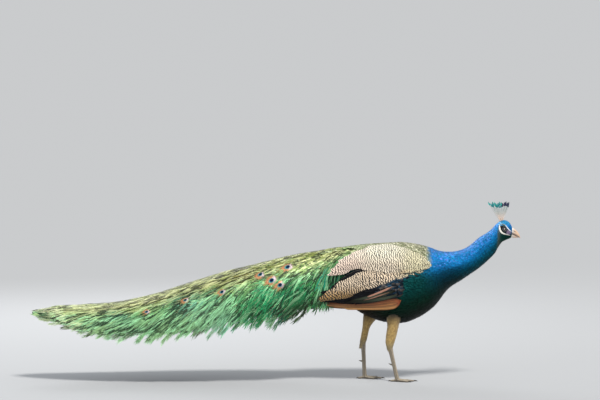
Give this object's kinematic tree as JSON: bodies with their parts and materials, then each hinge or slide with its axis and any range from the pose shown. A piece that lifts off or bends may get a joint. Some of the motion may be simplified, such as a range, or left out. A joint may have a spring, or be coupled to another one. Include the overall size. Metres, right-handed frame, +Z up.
{
  "type": "peacock",
  "caption": "Life-size still model of a walking male Indian peafowl, its crested head stretched forward, wings folded and the long train carried clear of the floor.",
  "frame": {"origin": "on the floor under the soles, midway between the tip of the bill and the tip of the train", "axes": "+X the way the bird walks, -Y its right side, +Z up"},
  "size_m": [1.9159, 0.3022, 0.7037],
  "materials": {
    "body": "satin",
    "neck": "satin",
    "bill": "satin",
    "eye": "gloss",
    "crest": "satin",
    "barred": "matte",
    "rufous": "matte",
    "train": "satin",
    "tail": "matte",
    "thigh": "matte",
    "leg": "matte",
    "claw": "satin"
  },
  "bodies": {
    "root": {"trunk": "body", "neck_lower": "neck", "neck_upper": "neck", "head": "neck", "bill_upper": "bill", "bill_lower": "bill", "eye_right": "eye", "eye_left": "eye", "crest": "crest", "scapulars_right": "barred", "scapulars_left": "barred", "wing_coverts_right": "barred", "wing_coverts_left": "barred", "primaries_right": "rufous", "primaries_left": "rufous", "train_root": "train", "train_middle": "train", "train_tip": "train", "tail": "tail", "thigh_right": "thigh", "thigh_left": "thigh", "shank_right": "leg", "shank_left": "leg", "foot_right": "leg", "foot_left": "leg", "claw_inner_right": "claw", "claw_middle_right": "claw", "claw_outer_right": "claw", "claw_hind_right": "claw", "claw_inner_left": "claw", "claw_middle_left": "claw", "claw_outer_left": "claw", "claw_hind_left": "claw"}
  },
  "joints": []
}
